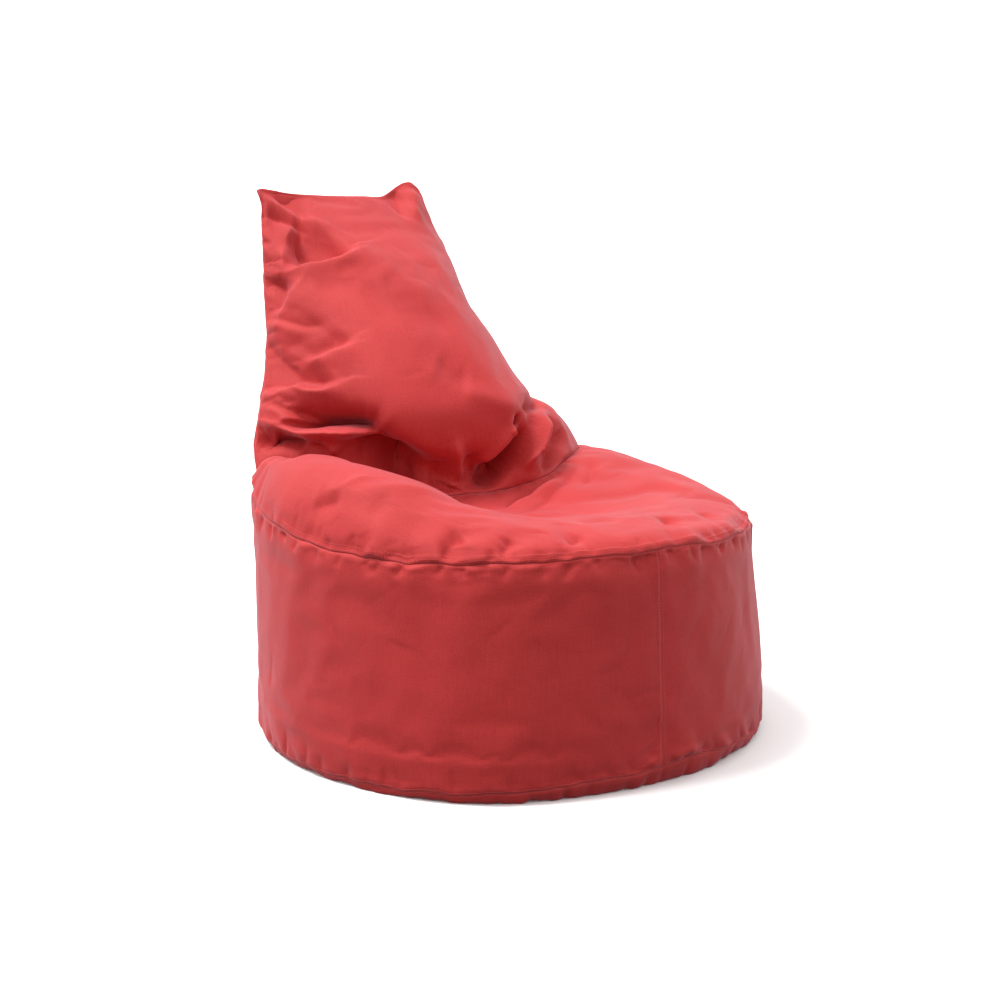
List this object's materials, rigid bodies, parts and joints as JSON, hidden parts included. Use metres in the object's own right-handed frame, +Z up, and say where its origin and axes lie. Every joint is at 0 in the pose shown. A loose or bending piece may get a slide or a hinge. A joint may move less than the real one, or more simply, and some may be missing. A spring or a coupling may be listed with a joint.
{
  "type": "bean bag chair",
  "caption": "Drum-shaped bean bag chair in canvas with a dished seat, a tapering backrest, an inner liner and a zipped base seam.",
  "frame": {"origin": "centre of the flat base, on the floor", "axes": "+Z up, -Y towards the front of the seat, +Y towards the backrest, X across the chair"},
  "size_m": [0.816, 0.957, 0.842],
  "materials": {
    "canvas": "red polyester canvas, plain weave, slight sheen",
    "zip_tape": "red woven tape",
    "zip_coil": "red nylon coil",
    "zip_metal": "nickel-plated zinc",
    "liner": "white spun-bonded liner",
    "beads": "expanded polystyrene beads",
    "label": "white satin, blank"
  },
  "bodies": {
    "bag": {"seat_panel": "canvas", "backrest_front_panel": "canvas", "backrest_rear_panel": "canvas", "side_band_left": "canvas", "side_band_right": "canvas", "base_panel": "canvas", "zip_tape_upper": "zip_tape", "zip_tape_lower": "zip_tape", "zip_coil_upper": "zip_coil", "zip_coil_lower": "zip_coil", "zip_stops": "zip_metal", "liner_seat_panel": "liner", "liner_backrest_front_panel": "liner", "liner_backrest_rear_panel": "liner", "liner_side_band": "liner", "liner_base_panel": "liner", "bead_fill": "beads", "care_label": "label"},
    "zip_slider": {"zip_slider": "zip_metal"},
    "zip_pull": {"zip_pull": "zip_metal"}
  },
  "joints": [
    {"name": "zip_travel", "type": "hinge", "parent": "bag", "child": "zip_slider", "pos_m": [0, 0, 0.041], "axis": [0, 0, 1], "range_deg": [-87.6, 0]},
    {"name": "pull_swing", "type": "hinge", "parent": "zip_slider", "child": "zip_pull", "pos_m": [-0.28482, 0.297, 0.041], "axis": [0, 0, 1], "range_deg": [0, 165]}
  ]
}
